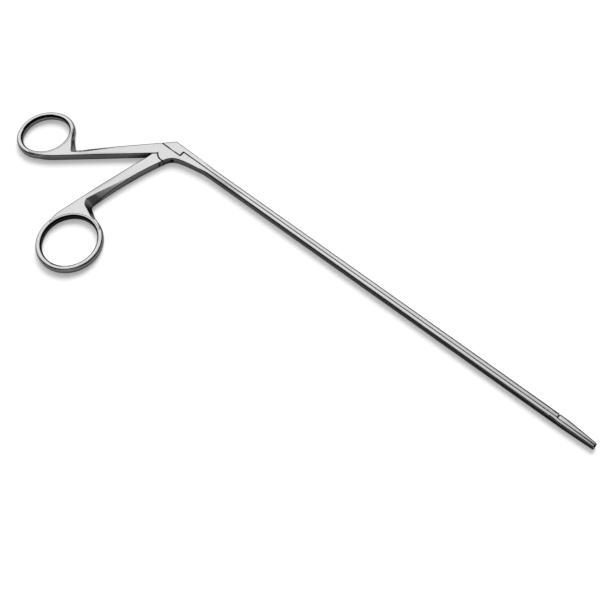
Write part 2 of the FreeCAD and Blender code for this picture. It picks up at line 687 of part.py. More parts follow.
nodes = {
    "fixed_handle": fixed_handle(),
    "finger_handle": finger_handle(),
    "sliding_rod": sliding_rod(),
    "upper_jaw": upper_jaw(),
    "handle_pivot_pin": flush_pin((0, 0), pivot_pin_r),
    "drive_pin": flush_pin(drive_pin_at, drive_pin_r),
    "jaw_hinge_rivet": flush_rivet(hinge_at, parting_y - slide_gap / 2, shaft_low_y),
    "jaw_link_rivet": flush_rivet(link_at, parting_y + slide_gap / 2, shaft_top_y),
    "rear_guide_stud": guide_stud(stud_x[0]),
    "front_guide_stud": guide_stud(stud_x[1]),
}

os.makedirs("parts", exist_ok=True)
for name, shape in nodes.items():
    shape.exportStep("parts/" + name + ".step")
    box = shape.BoundBox
    print("%-18s solids %d valid %s volume %.2f x %.1f..%.1f y %.1f..%.1f z %.2f..%.2f" % (
        name, len(shape.Solids), shape.isValid(), shape.Volume, box.XMin, box.XMax, box.YMin, box.YMax,
        box.ZMin, box.ZMax))
print("travel %.3f mm, handle opens %.3f degrees, jaw opens %.1f degrees" % (travel, handle_open, jaw_open))
print("hinge", hinge_at, "link", link_at, "drive", drive_pin_at)
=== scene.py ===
"""Alligator ear forceps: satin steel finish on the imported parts, pale table, soft light and camera."""
import math

import bmesh
import bpy
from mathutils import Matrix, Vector


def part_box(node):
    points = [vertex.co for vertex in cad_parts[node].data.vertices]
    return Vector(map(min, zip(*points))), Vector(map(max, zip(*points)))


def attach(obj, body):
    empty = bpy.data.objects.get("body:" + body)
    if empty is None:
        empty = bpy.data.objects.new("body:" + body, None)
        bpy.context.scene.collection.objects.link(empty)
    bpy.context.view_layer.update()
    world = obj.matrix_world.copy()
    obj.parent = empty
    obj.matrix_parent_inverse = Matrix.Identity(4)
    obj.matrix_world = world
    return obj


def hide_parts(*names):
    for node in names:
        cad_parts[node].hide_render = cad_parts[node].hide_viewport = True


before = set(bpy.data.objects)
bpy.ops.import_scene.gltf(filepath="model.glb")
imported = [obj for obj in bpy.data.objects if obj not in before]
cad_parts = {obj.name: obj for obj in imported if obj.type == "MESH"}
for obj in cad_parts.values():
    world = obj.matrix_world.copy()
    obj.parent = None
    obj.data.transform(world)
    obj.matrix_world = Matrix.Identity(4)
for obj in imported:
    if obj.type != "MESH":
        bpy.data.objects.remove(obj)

bl_info = {
    "name": "Alligator Ear Forceps",
    "version": (1, 0, 0),
    "blender": (4, 5, 0),
    "location": "View3D > Sidebar > Forceps",
    "description": "Finishes the forceps' parts in satin steel and sets the table, light and camera",
    "category": "Object",
}

MM = 0.001
TOP_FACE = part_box("sliding_rod")[1].z      # upper face of box, arms and shaft
MIDDLE = TOP_FACE / 2
FACE_SLACK = 0.001 * MM                    # a corner this near a face lies on it
WELD_REACH = 1e-7                          # corners of loose triangles that are nearer are one corner
LEVEL_ANGLE = math.radians(0.5)            # triangles that meet at less are one flat
FLAT_ANGLE = math.radians(0.1)             # flats that meet at more keep their line outside the curves
SMOOTH_ANGLE = math.radians(32)            # flats that meet at less are shaded as one curve

PLATE_END = 18 * MM                        # the square edges of the box start to round here
SHAFT_START = 32 * MM                      # behind here the parts keep the plate's full thickness
SHAFT_ONSET = 0.3 * SHAFT_START            # from here to there the painted shade on the sides darkens and the painted edge lines narrow
SHAFT_EDGE = 0.5                           # width of the shaft's painted dark edge lines, as a share of the box's
JAW_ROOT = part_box("upper_jaw")[0].x        # rear end of the moving jaw
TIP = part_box("upper_jaw")[1].x

# A ring's centre, half axes of its opening, turn, and the height above which its inner side is painted dark as
# shade.
THUMB_RING = ((-74.5 * MM, -39.5 * MM), (17.9 * MM, 15.5 * MM), math.radians(66.5), 3.9 * MM)
FINGER_RING = ((-4.0 * MM, -88.3 * MM), (20.6 * MM, 19.5 * MM), math.radians(90.0), 2.0 * MM)
RING_WIRE = 1.14                           # outer edge of a ring's wire, as a share of the half axes
BESIDE_RING = 2.0                          # ring distance of a part that has no ring
RING_HEIGHT = 1000.0                       # makes the height count for nothing in the ring distance

NOTCH = (-11.5 * MM, -60.0 * MM, TOP_FACE)  # corner between the finger arm and its ring
NOTCH_REACH = 8 * MM
NOTCH_SPAN = 10 * MM                       # distance from the notch at which its ramp of painted shade ends
ARM_SPAN = 100 * MM                        # distance from the handle pivot at which the ramp of the arms' painted edge shade ends

FIXED_PINS = ("handle_pivot_pin", "jaw_hinge_rivet")
ROD_PINS = ("drive_pin", "jaw_link_rivet")
NOWHERE = (0.0, 0.0, 1.0)                  # far above every part
PIN_FACE = 2.4 * MM                        # the painted dark lines stop this far from a handle pin's axis
RIVET_FACE = 1.5 * MM                      # and this far from a jaw rivet's

FINGER_GRAIN = (0.0, 0.0, math.radians(80))  # turn of the finger handle's grinding lines
GRAIN_STRETCH = 0.02                       # a grinding line's thickness, as a share of its length
CLOUD_SCALE, SMUDGE_SCALE = 55.0, 420.0    # wear marks per metre, wide and fine
SMUDGE_SWING = 0.10                        # how far smudges and grinding lines move the roughness
GRAIN_SWING = 0.06
DIRT_ROUGHNESS = 0.25                      # how much rougher the residue in the joints is
AO_SAMPLES = 8

MIX_FIRST, MIX_SECOND, MIX_RESULT = 6, 7, 2  # places of a Mix node's colour sockets
WHITE = (1.0, 1.0, 1.0, 1.0)
SENSOR_WIDTH = 36.0                        # millimetres

# Brightness of the room from one side, 0.0, to the other, 1.0.
FRONT_TO_BACK = (
    (0.0, 1.0), (0.06, 0.9), (0.14, 0.1), (0.25, 0.04), (0.34, 0.012), (0.44, 0.02), (0.51, 0.09), (0.55, 0.2),
    (0.60, 0.62), (0.65, 0.88), (0.74, 0.98), (0.82, 1.0), (0.88, 0.7), (0.94, 0.15), (1.0, 0.08))
LEFT_TO_RIGHT = (
    (0.05, 0.4), (0.22, 0.9), (0.37, 1.0), (0.5, 1.0), (0.64, 0.88), (0.71, 0.4), (0.77, 0.05), (1.0, 0.02))
FLOOR_TO_CEILING = ((0.52, 0.10), (0.62, 0.30), (0.71, 1.0))

# Sockets of the shading group that take the setting of the same name.
SHARED_SOCKETS = ("Side tone", "Ring tone", "Shaft tone", "Tip tone", "Far tone", "Notch tone", "Edge reach",
                  "Joint reach", "Corner reach", "Crown reach")


class ForcepsSteel(bpy.types.PropertyGroup):
    """Sizes and colours of the steel's finish, and of the shade painted on it."""
    colour: bpy.props.FloatVectorProperty(
        name="Steel colour", description="Colour of the satin steel", subtype="COLOR",
        default=(0.66, 0.66, 0.665), min=0.0, max=1.0)
    roughness: bpy.props.FloatProperty(
        name="Roughness", description="Mean roughness of the satin finish", default=0.22, min=0.05, max=0.8)
    grazing: bpy.props.FloatProperty(
        name="Grazing reflection", description="Share of the reflection that is left at grazing angles",
        default=0.65, min=0.0, max=1.0)
    # The next four settings paint shade: the side faces are painted darker than the upper faces, a painted dark
    # reflection, darkest inside the rings, along the shaft and at the jaws.
    side_tone: bpy.props.FloatProperty(
        name="Side tone", description="Brightness of the ground side faces beside the polished tops",
        default=0.25, min=0.0, max=1.0)
    ring_tone: bpy.props.FloatProperty(
        name="Ring tone", description="Brightness of the inner sides of the rings", default=0.015,
        min=0.0, max=1.0)
    shaft_tone: bpy.props.FloatProperty(
        name="Shaft tone", description="Share of the side tone that is left where the shaft starts",
        default=0.6, min=0.0, max=1.0)
    tip_tone: bpy.props.FloatProperty(
        name="Tip tone", description="Share of the side tone that is left at the jaws", default=0.03,
        min=0.0, max=1.0)
    # Painted shade: the rounding on the jaw's back and the sloping faces in the notch are painted dark.
    far_tone: bpy.props.FloatProperty(
        name="Far edge tone", description="Brightness of the rounding on the jaw's back", default=0.05,
        min=0.0, max=1.0)
    notch_tone: bpy.props.FloatProperty(
        name="Notch tone", description="Brightness of the sloping faces in the notch at the finger ring",
        default=0.4, min=0.0, max=1.0)
    # Painted shade: a dark line painted along each edge, and dark painted into the joints and narrow corners. The
    # joints are also rougher with residue.
    edge_reach: bpy.props.FloatProperty(
        name="Edge reach", description="Width of the dark line along each edge", default=0.6 * MM,
        unit="LENGTH", precision=5)
    joint_reach: bpy.props.FloatProperty(
        name="Joint reach", description="How far the dark residue spreads from a joint", default=0.7 * MM,
        unit="LENGTH", precision=5)
    corner_reach: bpy.props.FloatProperty(
        name="Corner reach", description="How far the dark spreads out of the narrow corners",
        default=10.0 * MM, unit="LENGTH")
    # Painted shade: the arms' upper faces are painted darker within this reach of their edges.
    crown_reach: bpy.props.FloatProperty(
        name="Crown reach", description="How far in from their edges the arms' upper faces are worn round",
        default=3.0 * MM, unit="LENGTH")
    grain_pitch: bpy.props.FloatProperty(
        name="Grain pitch", description="Distance between the fine grinding lines", default=0.12 * MM,
        unit="LENGTH", precision=5)
    grain_depth: bpy.props.FloatProperty(
        name="Grain depth", description="Depth of the grinding lines", default=0.0006 * MM,
        unit="LENGTH", precision=6)
    tip_height: bpy.props.FloatProperty(
        name="Tip height", description="Share of the shaft's thickness that is left at the tip", default=0.75,
        min=0.3, max=1.0)
    tip_droop: bpy.props.FloatProperty(
        name="Tip droop", description="How far the tip lies lower than the box", default=0.45 * MM,
        unit="LENGTH", precision=5)


class ForcepsStage(bpy.types.PropertyGroup):
    """Camera, table and light."""
    azimuth: bpy.props.FloatProperty(
        name="Camera azimuth", description="Where the camera stands, turned from straight below the shaft",
        default=math.radians(39.105), subtype="ANGLE")
    elevation: bpy.props.FloatProperty(
        name="Camera elevation", description="Height angle of the camera", default=math.radians(64.0),
        subtype="ANGLE")
    distance: bpy.props.FloatProperty(
        name="Camera distance", description="From the camera to the point that it looks at",
        default=616.5 * MM, unit="LENGTH")
    aim_along: bpy.props.FloatProperty(
        name="Aim along the shaft", description="Point that the camera looks at, from the handle pivot",
        default=136.65 * MM, unit="LENGTH")
    aim_across: bpy.props.FloatProperty(
        name="Aim across the shaft", description="The same point, across the shaft",
        default=-28.6 * MM, unit="LENGTH")
    lens: bpy.props.FloatProperty(
        name="Lens", description="Focal length on a 36 mm sensor, in millimetres", default=60.0)
    table_colour: bpy.props.FloatVectorProperty(
        name="Table colour", description="Colour of the plain table", subtype="COLOR",
        default=(0.93, 0.93, 0.93), min=0.0, max=1.0)
    table_size: bpy.props.FloatProperty(
        name="Table size", description="Half the width of the table", default=6.0, unit="LENGTH")
    table_glow: bpy.props.FloatProperty(
        name="Table glow", description="How much the table is lifted towards white where it is seen",
        default=0.36, min=0.0, max=1.0)
    room_light: bpy.props.FloatProperty(
        name="Room light", description="Strength of the room's soft light", default=1.26)
    lamp_strength: bpy.props.FloatProperty(
        name="Lamp strength", description="Strength of the soft lamp", default=2.1)
    lamp_height: bpy.props.FloatProperty(
        name="Lamp height", description="Height angle of the lamp", default=math.radians(46.0),
        subtype="ANGLE")
    lamp_turn: bpy.props.FloatProperty(
        name="Lamp turn", description="Where the lamp stands, turned from across the shaft",
        default=math.radians(-24.0), subtype="ANGLE")
    lamp_width: bpy.props.FloatProperty(
        name="Lamp width", description="Angle that the lamp covers, seen from the forceps",
        default=math.radians(38.0), subtype="ANGLE")


def feed(tree, socket, value):
    """Links an output to this input, or writes a plain value into it."""
    if isinstance(value, bpy.types.NodeSocket):
        tree.links.new(value, socket)
    else:
        socket.default_value = value


def add(tree, kind, x, y, **inputs):
    """Adds a shader node at a place and feeds its inputs. An underscore stands for a space."""
    node = tree.nodes.new(kind)
    node.location = (x, y)
    for name, value in inputs.items():
        feed(tree, node.inputs[name.replace("_", " ")], value)
    return node


def operate(tree, kind, operation, x, y, values):
    """Adds a Math or Vector Math node and feeds its inputs in order."""
    node = add(tree, kind, x, y)
    node.operation = operation
    for socket, value in zip(node.inputs, values):
        feed(tree, socket, value)
    return node


def calculate(tree, operation, x, y, *values):
    """Adds a Math node and gives its result."""
    return operate(tree, "ShaderNodeMath", operation, x, y, values).outputs[0]


def measure(tree, operation, x, y, *values):
    """Adds a Vector Math node and gives its result, a number."""
    return operate(tree, "ShaderNodeVectorMath", operation, x, y, values).outputs["Value"]


def blend(tree, x, y, share, first, second):
    """Adds a Mix node between two numbers and gives its result."""
    return add(tree, "ShaderNodeMix", x, y, Factor=share, A=first, B=second).outputs["Result"]


def ramp(tree, x, y, source, stops):
    """Adds a colour ramp with grey stops and gives its result."""
    node = add(tree, "ShaderNodeValToRGB", x, y, Fac=source)
    elements = node.color_ramp.elements
    while len(elements) < len(stops):
        elements.new(0.5)
    for element, (place, grey) in zip(elements, stops):
        element.position = place
        element.color = (grey, grey, grey, 1.0)
    return node.outputs["Color"]


def openness(tree, x, y, reach, inside=False):
    """Adds an Ambient Occlusion node: 1 where no other face lies within reach."""
    node = add(tree, "ShaderNodeAmbientOcclusion", x, y, Distance=reach)
    node.inside = inside
    node.samples = AO_SAMPLES
    return node.outputs["AO"]


def start_group(name, inputs, outputs):
    """Makes a node group, and gives it with what goes in and what comes out."""
    group = bpy.data.node_groups.new(name, "ShaderNodeTree")
    for sockets, in_out in ((inputs, "INPUT"), (outputs, "OUTPUT")):
        for socket, kind in sockets.items():
            group.interface.new_socket(socket, in_out=in_out, socket_type="NodeSocket" + kind)
    enter = add(group, "NodeGroupInput", -900, 0)
    leave = add(group, "NodeGroupOutput", 700, 0)
    return group, enter.outputs, leave.inputs


def use_group(tree, group, x, y, values):
    """Adds a node that runs a group, feeds its inputs and gives its outputs."""
    node = add(tree, "ShaderNodeGroup", x, y)
    node.node_tree = group
    for name, value in values.items():
        feed(tree, node.inputs[name], value)
    return node.outputs


def new_material(name):
    """An empty material and its node tree."""
    material = bpy.data.materials.new(name)
    material.use_nodes = True
    material.node_tree.nodes.clear()
    return material, material.node_tree


def satin_group():
    """Node group: fine grinding lines along one direction, with faint cloudy wear."""
    name = "Satin grain"
    if name in bpy.data.node_groups:
        return bpy.data.node_groups[name]
    group, given, result = start_group(
        name, {"Turn": "Vector", "Pitch": "Float", "Roughness": "Float"},
        {"Tone": "Float", "Rough": "Float", "Height": "Float"})
    place = add(group, "ShaderNodeTexCoord", -900, 300).outputs["Object"]
    turn = add(group, "ShaderNodeVectorRotate", -700, 200)
    turn.rotation_type = "EULER_XYZ"
    feed(group, turn.inputs["Vector"], place)
    feed(group, turn.inputs["Rotation"], given["Turn"])
    squeeze = add(group, "ShaderNodeMapping", -500, 200, Vector=turn.outputs["Vector"],
                  Scale=(GRAIN_STRETCH, 1.0, 1.0))
    fineness = calculate(group, "DIVIDE", -700, -100, 1.0, given["Pitch"])
    lines = add(group, "ShaderNodeTexNoise", -260, 250, Vector=squeeze.outputs["Vector"], Scale=fineness,
                Detail=3.0, Roughness=0.6).outputs["Fac"]
    clouds = add(group, "ShaderNodeTexNoise", -260, -50, Vector=place, Scale=CLOUD_SCALE, Detail=4.0,
                 Roughness=0.55).outputs["Fac"]
    smudges = add(group, "ShaderNodeTexNoise", -260, -300, Vector=place, Scale=SMUDGE_SCALE, Detail=3.0,
                  Roughness=0.6).outputs["Fac"]
    swing = calculate(group, "MULTIPLY_ADD", 0, -150, smudges, SMUDGE_SWING, -SMUDGE_SWING / 2)
    grain = calculate(group, "MULTIPLY_ADD", 200, -150, lines, GRAIN_SWING, swing)
    feed(group, result["Tone"], ramp(group, 0, 60, clouds, [(0.3, 0.94), (0.7, 1.0)]))
    feed(group, result["Rough"], calculate(group, "ADD", 400, -100, given["Roughness"], grain))
    feed(group, result["Height"], lines)
    return group


def painted_side_shade(group, given, height, upward, on_shaft, to_jaw):
    """Upper faces left bright beside side faces painted dark, a painted dark reflection of the room. The painted
    shade is darkest inside the rings, and darker along the shaft and at the jaws.
    """
    in_opening = ramp(group, -500, 600, given["Ring distance"], [(0.990, 1.0), (1.0, 0.0)])
    above = calculate(group, "GREATER_THAN", -500, 700, height, given["Ring depth"])
    painted_ring_shade = calculate(group, "MULTIPLY", -400, 600, in_opening, above)
    ring_side = blend(group, -350, 500, painted_ring_shade, given["Side tone"], given["Ring tone"])
    shaft_side = blend(group, -300, 1100, on_shaft, 1.0, given["Shaft tone"])
    fading = blend(group, -300, 850, to_jaw, shaft_side, given["Tip tone"])
    side = calculate(group, "MULTIPLY", -150, 600, ring_side, fading)
    facing_up = ramp(group, -500, 300, upward, [(0.58, 0.0), (0.88, 1.0)])
    ring_facing_up = ramp(group, -500, 50, upward, [(0.92, 0.0), (0.985, 1.0)])
    unshaded_top = blend(group, -250, 150, painted_ring_shade, facing_up, ring_facing_up)
    return blend(group, -150, 250, unshaded_top, side, 1.0)


def painted_dark_lines(group, given, place, on_shaft, residue_and_shade):
    """Painted shade: dark lines along the edges, in the joints and in narrow corners, but not round the flush
    pins.
    """
    shaft_share = calculate(group, "MULTIPLY_ADD", -900, -400, on_shaft, SHAFT_EDGE - 1, 1.0)
    line_reach = calculate(group, "MULTIPLY", -750, -400, shaft_share, given["Edge reach"])
    brink = openness(group, -600, -400, line_reach, inside=True)
    painted_edge_line = ramp(group, -350, -400, brink, [(0.84, 0.05), (0.985, 1.0)])
    deep = openness(group, -600, -550, given["Corner reach"])
    painted_corner_shade = ramp(group, -350, -550, deep, [(0.25, 0.05), (0.6, 1.0)])
    hidden = calculate(group, "MULTIPLY", -50, -300, painted_corner_shade, residue_and_shade)
    lines = calculate(group, "MULTIPLY", 50, -100, painted_edge_line, hidden)
    on_pins = []
    for y, socket, reach in ((-800, "Rear pin", PIN_FACE), (-950, "Front pin", RIVET_FACE)):
        away = measure(group, "DISTANCE", -600, y, place, given[socket])
        on_pins.append(calculate(group, "LESS_THAN", -400, y, away, reach))
    flush = calculate(group, "MAXIMUM", -200, -800, *on_pins)
    return calculate(group, "MAXIMUM", 150, -250, lines, flush)


def painted_local_shade(group, given, place, normal, to_jaw):
    """Painted shade: a dark rounding on the jaw's back, dark slopes in the notch, and a soft darkening along the
    edges of the arms' upper faces.
    """
    far_side = ramp(group, -500, 1350, normal["Y"], [(0.2, 0.0), (0.45, 1.0)])
    far_dark = calculate(group, "MULTIPLY", -250, 1350, far_side, to_jaw)
    painted_far_shade = blend(group, 0, 1350, far_dark, 1.0, given["Far tone"])
    to_notch = measure(group, "DISTANCE", -600, 1600, place, NOTCH)
    notch_share = calculate(group, "DIVIDE", -500, 1700, to_notch, NOTCH_SPAN)
    near_notch = ramp(group, -400, 1600, notch_share, [(0.65, 1.0), (0.9, 0.0)])
    sloping = ramp(group, -400, 1850, normal["Z"], [(0.95, 1.0), (0.99, 0.0)])
    notch_dark = calculate(group, "MULTIPLY", -200, 1700, near_notch, sloping)
    painted_notch_shade = blend(group, 0, 1600, notch_dark, 1.0, given["Notch tone"])
    spots = calculate(group, "MULTIPLY", 150, 1400, painted_far_shade, painted_notch_shade)
    crown = openness(group, -600, 2100, given["Crown reach"], inside=True)
    painted_edge_falloff = ramp(group, -350, 2100, crown, [(0.5, 0.6), (0.93, 1.0)])
    from_pivot = measure(group, "LENGTH", -600, 2400, place)
    arm_share = calculate(group, "DIVIDE", -450, 2400, from_pivot, ARM_SPAN)
    on_arm = ramp(group, -300, 2400, arm_share, [(0.24, 0.0), (0.42, 1.0), (0.54, 1.0), (0.62, 0.0)])
    amount = calculate(group, "MULTIPLY", -50, 2300, on_arm, given["Crown"])
    painted_edge_shade = blend(group, 100, 2100, amount, 1.0, painted_edge_falloff)
    return calculate(group, "MULTIPLY", 300, 1400, spots, painted_edge_shade)


def shade_group():
    """Node group: painted shade on the side faces, along the edges and in the inner corners, and dark residue
    with painted shade in the joints.
    """
    name = "Dark sides and joints"
    if name in bpy.data.node_groups:
        return bpy.data.node_groups[name]
    numbers = SHARED_SOCKETS + ("Crown", "Ring distance", "Ring depth")
    places = ("Rear pin", "Front pin")
    group, given, result = start_group(
        name, {**dict.fromkeys(numbers, "Float"), **dict.fromkeys(places, "Vector")},
        {"Tone": "Float", "Rougher": "Float"})
    coordinates = add(group, "ShaderNodeTexCoord", -900, 300).outputs
    place = coordinates["Object"]
    normal = add(group, "ShaderNodeSeparateXYZ", -700, 300, Vector=coordinates["Normal"]).outputs
    along = add(group, "ShaderNodeSeparateXYZ", -700, 800, Vector=place).outputs
    on_shaft = add(group, "ShaderNodeMapRange", -500, 1100, Value=along["X"], From_Min=SHAFT_ONSET,
                   From_Max=SHAFT_START).outputs["Result"]
    to_jaw = add(group, "ShaderNodeMapRange", -500, 850, Value=along["X"], From_Min=SHAFT_START,
                 From_Max=JAW_ROOT).outputs["Result"]
    # The joints: rougher with residue, and painted dark as shade.
    nook = openness(group, -600, -100, given["Joint reach"])
    residue_and_shade = ramp(group, -350, -100, nook, [(0.72, 0.02), (0.95, 1.0)])
    side = painted_side_shade(group, given, along["Z"], normal["Z"], on_shaft, to_jaw)
    lines = painted_dark_lines(group, given, place, on_shaft, residue_and_shade)
    local = painted_local_shade(group, given, place, normal, to_jaw)
    tone = calculate(group, "MULTIPLY", 250, 150, side, lines)
    dirt = calculate(group, "MULTIPLY_ADD", 250, -150, residue_and_shade, -DIRT_ROUGHNESS, DIRT_ROUGHNESS)
    feed(group, result["Tone"], calculate(group, "MULTIPLY", 400, 300, tone, local))
    feed(group, result["Rougher"], dirt)
    return group


def pin_face(name):
    """Middle of a pin's upper face."""
    low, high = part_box(name)
    return ((low.x + high.x) / 2, (low.y + high.y) / 2, TOP_FACE)


def ring_distance(tree, ring):
    """Distance from a ring's axis: 1 on the edge of its opening."""
    centre, half_axes, turn, dark_above = ring
    place = add(tree, "ShaderNodeTexCoord", -900, 300).outputs["Object"]
    centred = add(tree, "ShaderNodeMapping", -700, 300)
    centred.vector_type = "TEXTURE"
    for name, value in (("Vector", place), ("Location", (*centre, 0.0)), ("Rotation", (0.0, 0.0, turn)),
                        ("Scale", (*half_axes, RING_HEIGHT))):
        feed(tree, centred.inputs[name], value)
    return measure(tree, "LENGTH", -500, 300, centred.outputs["Vector"])


def steel(name, turn=(0.0, 0.0, 0.0), shade=1.0, rougher=0.0, ring=None, pins=()):
    """Satin steel. Turn lays the grinding lines along a direction other than the shaft's.

    A ring paints its own inner side dark as shade and paints a soft shade along the edges of its arm's upper
    faces. Round the pins, which are riveted over and ground flush, there is no painted dark line."""
    settings = bpy.context.scene.forceps_steel
    rear_pin, front_pin = [pin_face(pin) for pin in pins] or [NOWHERE, NOWHERE]
    material, tree = new_material(name)
    grain = use_group(tree, satin_group(), -300, 0, {
        "Turn": turn, "Pitch": settings.grain_pitch, "Roughness": settings.roughness + rougher})
    values = {socket: getattr(settings, socket.lower().replace(" ", "_")) for socket in SHARED_SOCKETS}
    values.update({"Rear pin": rear_pin, "Front pin": front_pin, "Ring distance": BESIDE_RING})
    # A ring's part also gets the painted shade inside its ring and along its arm's edges.
    if ring:
        values.update({"Crown": 1.0, "Ring depth": ring[3], "Ring distance": ring_distance(tree, ring)})
    sides = use_group(tree, shade_group(), -300, 300, values)
    colour = add(tree, "ShaderNodeMix", 0, 150, Factor=1.0)
    colour.data_type = "RGBA"
    colour.blend_type = "MULTIPLY"
    feed(tree, colour.inputs[MIX_FIRST], (*[shade * part for part in settings.colour], 1.0))
    feed(tree, colour.inputs[MIX_SECOND],
         calculate(tree, "MULTIPLY", -150, 100, grain["Tone"], sides["Tone"]))
    bump = add(tree, "ShaderNodeBump", 100, -250, Strength=0.6, Distance=settings.grain_depth,
               Height=grain["Height"])
    shader = add(tree, "ShaderNodeBsdfPrincipled", 400, 0, Metallic=1.0,
                 Base_Color=colour.outputs[MIX_RESULT],
                 Roughness=calculate(tree, "ADD", 0, -100, grain["Rough"], sides["Rougher"]),
                 Specular_Tint=(*[settings.grazing] * 3, 1.0), Normal=bump.outputs["Normal"])
    add(tree, "ShaderNodeOutputMaterial", 700, 0, Surface=shader.outputs["BSDF"])
    return material


def cover(piece, material):
    """Gives a piece this finish alone."""
    piece.data.materials.clear()
    piece.data.materials.append(material)


def finish_nodes(names, material):
    """Gives CAD parts their finish."""
    for name in names:
        cover(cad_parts[name], material)


def thin_towards_tip(mesh):
    """Lets the shaft and the jaws grow thinner, and lie a little lower, towards the tip."""
    settings = bpy.context.scene.forceps_steel
    for corner in mesh.vertices:
        share = (corner.co.x - SHAFT_START) / (TIP - SHAFT_START)
        if share > 0:
            height = 1 - (1 - settings.tip_height) * share
            corner.co.z = MIDDLE - settings.tip_droop * share + (corner.co.z - MIDDLE) * height


def sharpen_outside(piece, curved):
    """Keeps every line between flats hard, apart from those where curved says so."""
    bpy.ops.object.mode_set(mode="EDIT")
    bpy.ops.mesh.select_mode(type="EDGE")
    bpy.ops.mesh.select_all(action="DESELECT")
    mesh = bmesh.from_edit_mesh(piece.data)
    for edge in mesh.edges:
        turn = edge.calc_face_angle(0.0) if edge.is_manifold else 0.0
        middle = (edge.verts[0].co + edge.verts[1].co) / 2
        edge.select_set(turn > FLAT_ANGLE and not curved(middle))
    bmesh.update_edit_mesh(piece.data)
    bpy.ops.mesh.mark_sharp()
    bpy.ops.object.mode_set(mode="OBJECT")


def finished_copy(name, body, material, curved=None):
    """Copies a CAD part, joins its loose triangles, thins it towards the tip, and shades it smooth where
    curved says so. The copy stands for the part."""
    bpy.ops.object.select_all(action="DESELECT")
    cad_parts[name].select_set(True)
    bpy.context.view_layer.objects.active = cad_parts[name]
    bpy.ops.object.duplicate()
    piece = bpy.context.object
    piece.name = name + "_finished"
    bpy.ops.object.mode_set(mode="EDIT")
    bpy.ops.mesh.select_all(action="SELECT")
    bpy.ops.mesh.remove_doubles(threshold=WELD_REACH)
    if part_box(name)[0].x < SHAFT_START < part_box(name)[1].x:
        bpy.ops.mesh.bisect(plane_co=(SHAFT_START, 0.0, 0.0), plane_no=(1.0, 0.0, 0.0))
        bpy.ops.mesh.select_all(action="SELECT")
    bpy.ops.mesh.dissolve_limited(angle_limit=LEVEL_ANGLE, delimit={"NORMAL"})
    bpy.ops.object.mode_set(mode="OBJECT")
    thin_towards_tip(piece.data)
    bpy.ops.object.shade_smooth_by_angle(angle=SMOOTH_ANGLE)
    if curved:
        sharpen_outside(piece, curved)
    bpy.ops.object.modifier_add(type="WEIGHTED_NORMAL")
    piece.modifiers[-1].keep_sharp = True
    bpy.ops.object.modifier_apply(modifier=piece.modifiers[-1].name)
    cover(piece, material)
    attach(piece, body)
    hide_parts(name)
    return piece


def in_ring(ring, point):
    """True on the wire of a ring."""
    centre, half_axes, turn, dark_above = ring
    x, y = point.x - centre[0], point.y - centre[1]
    along = (x * math.cos(turn) + y * math.sin(turn)) / half_axes[0]
    across = (y * math.cos(turn) - x * math.sin(turn)) / half_axes[1]
    return math.hypot(along, across) < RING_WIRE


def in_notch(point):
    """True on the sloping faces in the notch between the finger arm and its ring."""
    return (point - Vector(NOTCH)).length < NOTCH_REACH and point.z < TOP_FACE - FACE_SLACK


class FORCEPS_OT_handles(bpy.types.Operator):
    """Finishes the thumb and finger handles"""
    bl_idname = "forceps.handles"
    bl_label = "Handles"

    def execute(self, context):
        finished_copy("fixed_handle", "fixed_half",
                      steel("Fixed handle steel", ring=THUMB_RING, pins=FIXED_PINS),
                      curved=lambda point: point.x > PLATE_END or in_ring(THUMB_RING, point))
        finished_copy("finger_handle", "finger_half",
                      steel("Finger handle steel", turn=FINGER_GRAIN, ring=FINGER_RING),
                      curved=lambda point: in_ring(FINGER_RING, point) or in_notch(point))
        return {"FINISHED"}


class FORCEPS_OT_rod(bpy.types.Operator):
    """Finishes the sliding rod"""
    bl_idname = "forceps.rod"
    bl_label = "Sliding rod"

    def execute(self, context):
        finished_copy("sliding_rod", "rod", steel("Sliding rod steel", pins=ROD_PINS))
        return {"FINISHED"}


class FORCEPS_OT_jaw(bpy.types.Operator):
    """Finishes the moving jaw"""
    bl_idname = "forceps.jaw"
    bl_label = "Upper jaw"

    def execute(self, context):
        # shade=1.22 paints the jaw's steel lighter than the other parts, as painted light.
        finished_copy("upper_jaw", "jaw", steel("Jaw steel", shade=1.22, rougher=0.03))
        return {"FINISHED"}


class FORCEPS_OT_pins(bpy.types.Operator):
    """Finishes the flush pins, rivets and guide studs"""
    bl_idname = "forceps.pins"
    bl_label = "Pins and rivets"

    def execute(self, context):
        finish_nodes(["handle_pivot_pin", "rear_guide_stud", "front_guide_stud"],
                     steel("Fixed pin steel", pins=FIXED_PINS))
        finish_nodes(["drive_pin"], steel("Drive pin steel", pins=ROD_PINS))
        finished_copy("jaw_hinge_rivet", "fixed_half", steel("Hinge rivet steel", pins=FIXED_PINS))
        finished_copy("jaw_link_rivet", "rod", steel("Link rivet steel", pins=ROD_PINS))
        return {"FINISHED"}


def table_material(settings):
    """Plain pale table, lifted to white where the camera or a reflection sees it."""
    material, tree = new_material("Table")
    shader = add(tree, "ShaderNodeBsdfPrincipled", 100, 100, Base_Color=(*settings.table_colour, 1.0),
                 Roughness=0.85, Specular_IOR_Level=0.0)
    path = add(tree, "ShaderNodeLightPath", -500, -100).outputs
    seen = calculate(tree, "MAXIMUM", -250, -150, path["Is Camera Ray"], path["Is Glossy Ray"])
    strength = calculate(tree, "MULTIPLY", -50, -200, seen, settings.table_glow)
    glow = add(tree, "ShaderNodeEmission", 100, -200, Color=WHITE, Strength=strength)
    both = add(tree, "ShaderNodeAddShader", 450, 0)
    feed(tree, both.inputs[0], shader.outputs["BSDF"])
    feed(tree, both.inputs[1], glow.outputs["Emission"])
    add(tree, "ShaderNodeOutputMaterial", 700, 0, Surface=both.outputs["Shader"])
    return material


